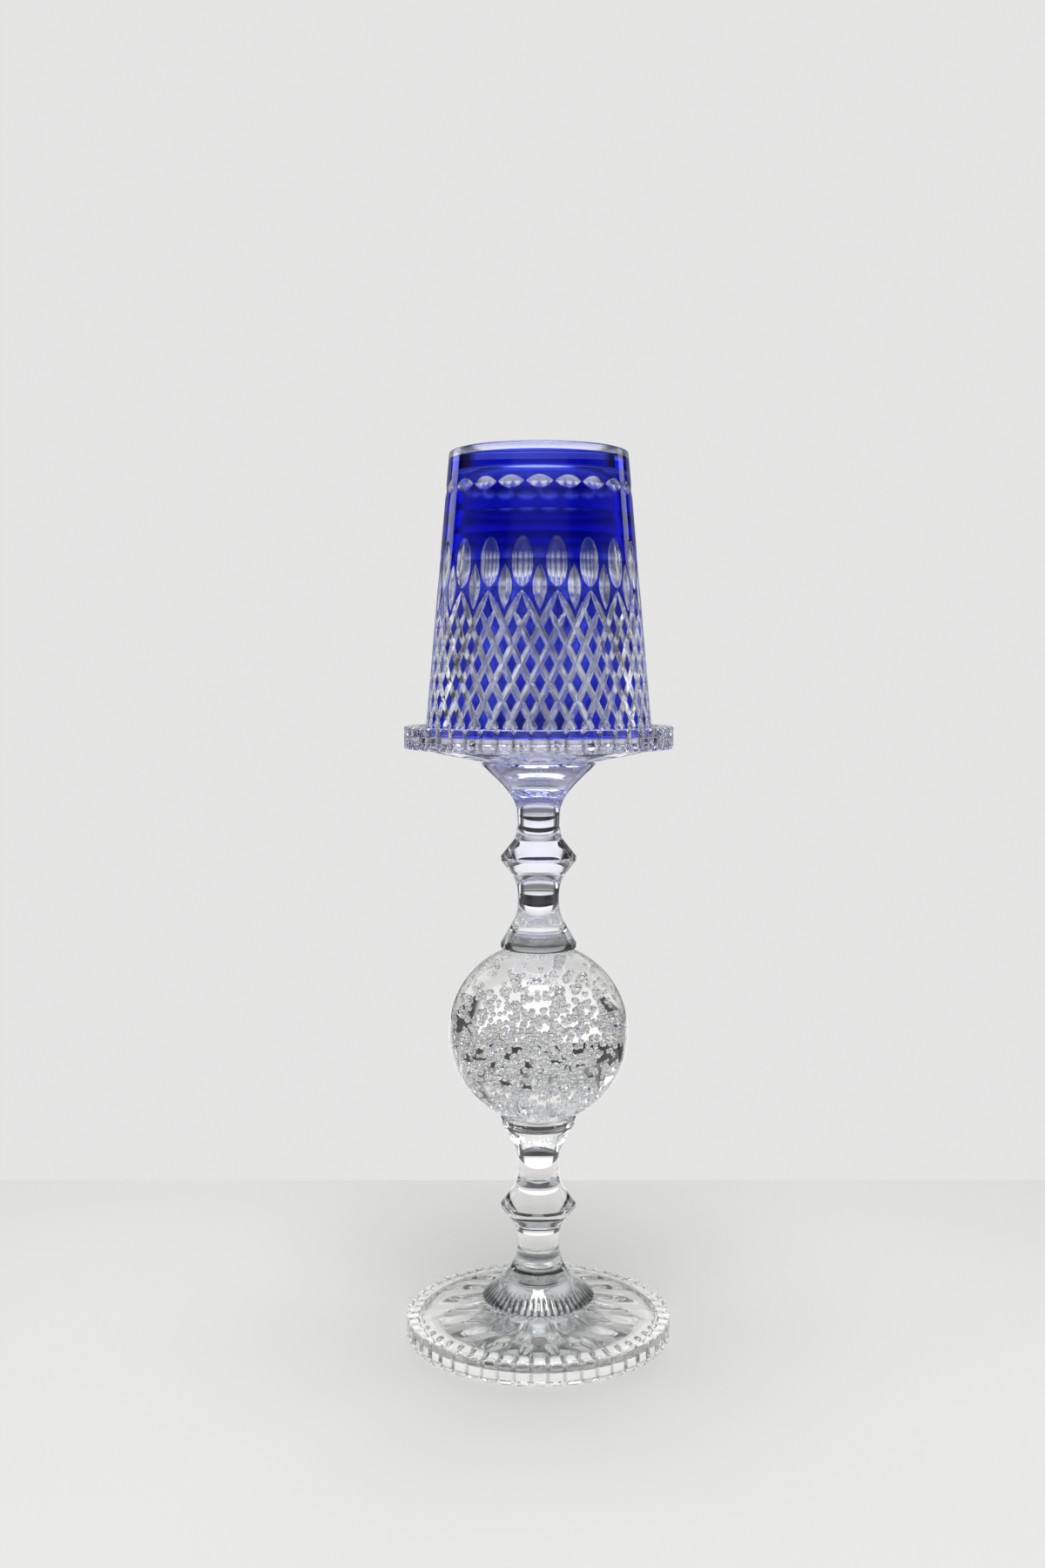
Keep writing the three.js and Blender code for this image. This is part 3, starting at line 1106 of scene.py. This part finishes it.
    def build(self) -> None:
        """Turns, cuts and hands over the shade."""
        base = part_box(self.node)[0].z
        columns = 2 * self.repeats * self.steps_per_cell
        piece = turn("shade_glass", self.outline(), columns, base, sectors=self.repeats)
        self.cut(piece, base)
        smooth(piece, 24)
        piece.data.materials.append(CasedGlass().make())
        hand_over(piece, Body.SHADE, self.node)


# ---------------------------------------------------------------- the tealight


@dataclass
class Tealight:
    """A tealight: a foil cup, a cake of wax, a wick and the tab that holds it up. Millimetres."""

    cup_radius: float = 19.2
    cup_height: float = 16
    cup_wall: float = 0.5
    flute_count: int = 48
    flute_depth: float = 0.12
    wax_radius: float = 17.9
    wax_height: float = 13
    bore_radius: float = 1.2
    recess_radius: float = 7.3
    recess_height: float = 0.8
    wick_radius: float = 0.9
    strand_count: int = 3
    strand_pitch: float = 2.6

    def cup(self) -> None:
        """Draws the foil cup, with a rolled lip and fine flutes in its wall."""
        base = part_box("tealight_cup")[0].z
        wall = self.cup_radius - 0.5
        inner = wall - self.cup_wall
        line = Outline().to(0, 0).to(wall - 1, 0, 3).curve((wall - 0.3, 0), (wall, 0.3), (wall, 1), 4)
        line.to(wall, self.cup_height - 1.2, 8)
        line.curve((wall, self.cup_height - 0.8), (self.cup_radius, self.cup_height - 0.9),
                   (self.cup_radius, self.cup_height - 0.4), 4)
        line.curve((self.cup_radius, self.cup_height), (self.cup_radius - 0.4, self.cup_height),
                   (inner, self.cup_height), 4)
        line.to(inner, self.cup_wall + 0.4, 8).to(inner - 0.4, self.cup_wall).to(0, self.cup_wall, 3)
        piece = turn("tealight_cup_foil", line, self.flute_count * 4, base)
        places = read_places(piece)
        radius = np.hypot(places[:, 0], places[:, 1]) / MM
        height = (places[:, 2] - base) / MM
        fluted = (radius > wall - 0.1) & (height > 1.5) & (height < self.cup_height - 1.5)
        wave = 0.5 - 0.5 * np.cos(np.arctan2(places[:, 1], places[:, 0]) * self.flute_count)
        inward = np.where(fluted, wave * self.flute_depth, 0)
        scale = (np.maximum(radius, 1e-3) - inward) / np.maximum(radius, 1e-3)
        places[:, 0] *= scale
        places[:, 1] *= scale
        write_places(piece, places)
        smooth(piece, 40)
        foil = SheetMetal("drawn_foil", (0.86, 0.87, 0.88), (0.70, 0.71, 0.73), 0.26)
        piece.data.materials.append(foil.make())
        hand_over(piece, Body.TEALIGHT, "tealight_cup")

    def wax(self) -> None:
        """Casts the wax, which climbs a little at the wall and at the wick."""
        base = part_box("tealight_wax")[0].z
        top = self.wax_height
        line = Outline().to(self.bore_radius, self.recess_height)
        line.to(self.recess_radius, self.recess_height, 3)
        line.to(self.recess_radius, 0).to(self.wax_radius - 0.4, 0, 4).to(self.wax_radius, 0.4)
        line.to(self.wax_radius, top - 0.2, 6)
        line.curve((self.wax_radius - 0.6, top - 0.1), (self.wax_radius - 1.5, top - 0.9), (12, top - 1), 10)
        line.curve((8, top - 1.05), (3, top - 1.05), (self.bore_radius + 0.2, top - 0.7), 8)
        line.to(self.bore_radius, top - 0.9).to(self.bore_radius, self.recess_height, 5)
        piece = turn("tealight_wax_cake", line, 96, base, closed=True)
        smooth(piece, 40)
        piece.data.materials.append(Paraffin().make())
        hand_over(piece, Body.TEALIGHT, "tealight_wax")

    def wick(self) -> None:
        """Lays up the wick from strands, and lets its free end lean."""
        low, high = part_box("wick")
        length = (high.z - low.z) / MM
        line = Outline().to(0, 0).to(self.wick_radius - 0.1, 0).to(self.wick_radius, 0.1)
        line.to(self.wick_radius, length - 0.3, 60).to(self.wick_radius - 0.3, length).to(0, length)
        piece = turn("wick_braid", line, 24, low.z)
        places = read_places(piece)
        angle = np.arctan2(places[:, 1], places[:, 0])
        height = (places[:, 2] - low.z) / MM
        lay = np.cos(angle * self.strand_count + height / self.strand_pitch * FULL_TURN)
        lean = np.clip((height - 14) / 6, 0, 1) ** 2 * 0.7
        scale = 0.88 + 0.12 * lay
        places[:, 0] = places[:, 0] * scale + lean * MM
        places[:, 1] *= scale
        write_places(piece, places)
        smooth(piece, 60)
        piece.data.materials.append(Cotton().make())
        hand_over(piece, Body.TEALIGHT, "wick")

    def tab(self) -> None:
        """Stamps the tab, with a rolled edge and a pressed ring."""
        low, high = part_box("wick_tab")
        thickness = (high.z - low.z) / MM
        line = Outline().to(0, 0).to(6.6, 0, 4).curve((6.9, 0), (7, 0.1), (7, thickness / 2), 3)
        line.curve((7, thickness - 0.1), (6.9, thickness), (6.6, thickness), 3)
        line.to(5.2, thickness).to(4.9, thickness - 0.15).to(4.3, thickness - 0.15).to(4, thickness)
        piece = turn("wick_tab_plate", line.to(0, thickness, 3), 72, low.z)
        smooth(piece)
        tinplate = SheetMetal("stamped_tinplate", (0.7, 0.71, 0.72), (0.5, 0.51, 0.52), 0.36)
        piece.data.materials.append(tinplate.make())
        hand_over(piece, Body.TEALIGHT, "wick_tab")

    def build(self) -> None:
        """Builds the four pieces."""
        self.cup()
        self.wax()
        self.tab()
        self.wick()


# ---------------------------------------------------------------- the studio


@dataclass
class Studio:
    """A pale floor, soft lights, black cards, the room that the glass shows, and the camera."""

    viewing_distance: float = 0.7189
    viewing_height: float = 0.2983
    sideways: float = -0.0072
    tilt_down: float = 3.80
    lens: float = 36.97
    floor_back: float = 0.22
    floor_reach: float = 1.3
    backdrop: Colour = (0.78, 0.78, 0.775)
    across_room: tuple[Point, ...] = (
        (0.0, 1.0), (0.52, 0.95), (0.62, 0.06), (0.90, 0.04), (0.97, 0.6), (1.0, 0.75),
    )
    up_room: tuple[Point, ...] = (
        (0.0, 0.6), (0.28, 1.0), (0.38, 1.25), (0.45, 1.0), (0.49, 0.6), (0.52, 0.55), (0.54, 0.22),
        (0.63, 0.20), (0.68, 0.9), (0.82, 0.6), (1.0, 1.3),
    )
    along_room: tuple[Point, ...] = ((0.0, 0.5), (0.42, 0.5), (0.58, 1.0), (1.0, 1.0))
    card_back: float = 0.38
    cards: tuple[Point, ...] = ((0.083, 0.160), (0.200, 0.214))

    def camera(self) -> None:
        """Sets the camera up in front of the candlestick."""
        deselect_all()
        bpy.ops.object.camera_add(
            location=(self.sideways, -self.viewing_distance, self.viewing_height),
            rotation=(math.radians(90 - self.tilt_down), 0, 0),
        )
        camera = bpy.context.object
        camera.data.lens = self.lens
        camera.data.sensor_width = 36
        camera.data.clip_start = 0.01
        bpy.context.scene.camera = camera

    def floor(self) -> None:
        """Lays the floor, which ends a hand's breadth behind the foot."""
        deselect_all()
        bpy.ops.mesh.primitive_plane_add(size=self.floor_reach, location=(0, 0, 0))
        floor = bpy.context.object
        floor.name = "floor"
        bpy.ops.object.mode_set(mode="EDIT")
        bpy.ops.mesh.select_all(action="SELECT")
        bpy.ops.transform.translate(value=(0, self.floor_back - self.floor_reach / 2, 0))
        bpy.ops.object.mode_set(mode="OBJECT")
        floor.data.materials.append(PaleFloor().make())

    def black_cards(self) -> None:
        """Hangs long black cards behind, out of the camera's sight, to draw dark lines in the glass."""
        for number, (low, high) in enumerate(self.cards, 1):
            deselect_all()
            middle = (0, self.card_back, (low + high) / 2)
            bpy.ops.mesh.primitive_cube_add(size=1, location=middle, scale=(1.1, 0.004, high - low))
            card = bpy.context.object
            card.name = f"black_card_{number}"
            card.visible_camera = False
            card.visible_shadow = False
            card.data.materials.append(BlackCard().make())

    def softbox(self, name: str, place: tuple, size: Point, power: float, colour: Colour = (1, 1, 1)) -> None:
        """Hangs one soft light that faces the ball.

        Args:
            name: The light's name.
            place: Where it hangs.
            size: Its width and height.
            power: Its power in watts.
            colour: Its colour.
        """
        bpy.ops.object.light_add(type="AREA", location=place)
        light = bpy.context.object
        light.name = name
        aim = Vector((0, 0, 0.2)) - Vector(place)
        light.rotation_euler = aim.to_track_quat("-Z", "Y").to_euler()
        light.data.shape = "RECTANGLE"
        light.data.size, light.data.size_y = size
        light.data.energy = power
        light.data.color = colour

    def surroundings(self) -> None:
        """Makes the room: pale all round, with dark pillars between and a dark band above eye level."""
        world = bpy.data.worlds.new("studio")
        bpy.context.scene.world = world
        world.use_nodes = True
        nodes, links = world.node_tree.nodes, world.node_tree.links

        def maths(operation: str, *sources: bpy.types.NodeSocket | float) -> bpy.types.NodeSocket:
            """Adds one sum to the room's nodes."""
            node = nodes.new("ShaderNodeMath")
            node.operation = operation
            for socket, source in zip(node.inputs, sources):
                if isinstance(source, bpy.types.NodeSocket):
                    links.new(source, socket)
                else:
                    socket.default_value = source
            return node.outputs[0]

        def shades(source: bpy.types.NodeSocket, stops: tuple[Point, ...]) -> bpy.types.NodeSocket:
            """Adds one ramp of greys to the room's nodes."""
            ramp = nodes.new("ShaderNodeValToRGB")
            elements = ramp.color_ramp.elements
            while len(elements) < len(stops):
                elements.new(1)
            for element, (place, grey) in zip(elements, stops):
                element.position = place
                element.color = (grey, grey, grey, 1)
            links.new(source, ramp.inputs["Fac"])
            return ramp.outputs["Color"]

        split = nodes.new("ShaderNodeSeparateXYZ")
        links.new(nodes.new("ShaderNodeTexCoord").outputs["Generated"], split.inputs["Vector"])
        steepness = maths("MULTIPLY", split.outputs["Z"], split.outputs["Z"])
        level = maths("SQRT", maths("SUBTRACT", 1.0001, steepness))
        across = shades(maths("DIVIDE", maths("ABSOLUTE", split.outputs["X"]), level), self.across_room)
        up = shades(maths("MULTIPLY_ADD", split.outputs["Z"], 0.5, 0.5), self.up_room)
        along = shades(maths("MULTIPLY_ADD", split.outputs["Y"], 0.5, 0.5), self.along_room)
        room = nodes["Background"]
        links.new(maths("MULTIPLY", maths("MULTIPLY", across, up), along), room.inputs["Color"])
        plain = nodes.new("ShaderNodeBackground")
        plain.inputs["Color"].default_value = (*self.backdrop, 1)
        seen = nodes.new("ShaderNodeLightPath")
        mix = nodes.new("ShaderNodeMixShader")
        links.new(seen.outputs["Is Camera Ray"], mix.inputs["Fac"])
        links.new(room.outputs["Background"], mix.inputs[1])
        links.new(plain.outputs["Background"], mix.inputs[2])
        links.new(mix.outputs["Shader"], nodes["World Output"].inputs["Surface"])

    def rendering(self) -> None:
        """Lets light pass through many layers of glass, and keeps colours as they are."""
        scene = bpy.context.scene
        scene.view_settings.view_transform = "Standard"
        scene.cycles.max_bounces = 32
        scene.cycles.transmission_bounces = 32
        scene.cycles.transparent_max_bounces = 32
        scene.cycles.glossy_bounces = 12

    def build(self) -> None:
        """Sets up the whole studio."""
        self.camera()
        self.floor()
        self.black_cards()
        self.softbox("window_left", (-0.75, 0.62, 0.62), (0.32, 0.55), 0.7)
        self.softbox("window_right", (0.80, 0.55, 0.40), (0.22, 0.7), 0.6)
        self.softbox("overhead", (0, 0.0, 1.3), (0.8, 0.8), 10)
        self.softbox("strip", (0, -0.42, 1.2), (0.45, 0.14), 3)
        self.surroundings()
        self.rendering()


def main() -> None:
    """Builds the candlestick from the table up, and then the studio."""
    logging.basicConfig(level=logging.INFO, format="%(name)s: %(message)s")
    ball_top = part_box("bubble_ball")[1].z
    gallery_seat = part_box("gallery_dish")[0].z
    # Painted light: the upper stem and the gallery dish get the shade's blue glow in their colour.
    painted_glow = GlowPaintedCrystal("crystal_with_painted_glow", ball_top, gallery_seat)
    # Painted shade: the foot casts no shadow, so its crystal is tinted darker in place of the shade, and its
    # slots are darkened too.
    foot_crystal_painted_shade = ClearCrystal("foot_crystal_painted_shade", tint=(0.86, 0.868, 0.862), painted_slot_shade=0.5)
    Dish("foot_dish", Way.UPENDED, foot_crystal_painted_shade, shadow=False).build()
    # Painted shade: near-black stripes in the flutes of the lower stem's wide end.
    Stem("lower_stem", Way.UPRIGHT, ClearCrystal("fluted_crystal", painted_slot_shade=0.05), fluted=True).build()
    BubbleBall().build()
    Stem("upper_stem", Way.UPENDED, painted_glow).build()
    Dish("gallery_dish", Way.UPRIGHT, painted_glow).build()
    for node in ("foot_bond", "lower_ball_bond", "upper_ball_bond", "gallery_bond"):
        Bond(node).build()
    Tealight().build()
    Shade().build()
    Studio().build()


if __name__ == "__main__":
    main()
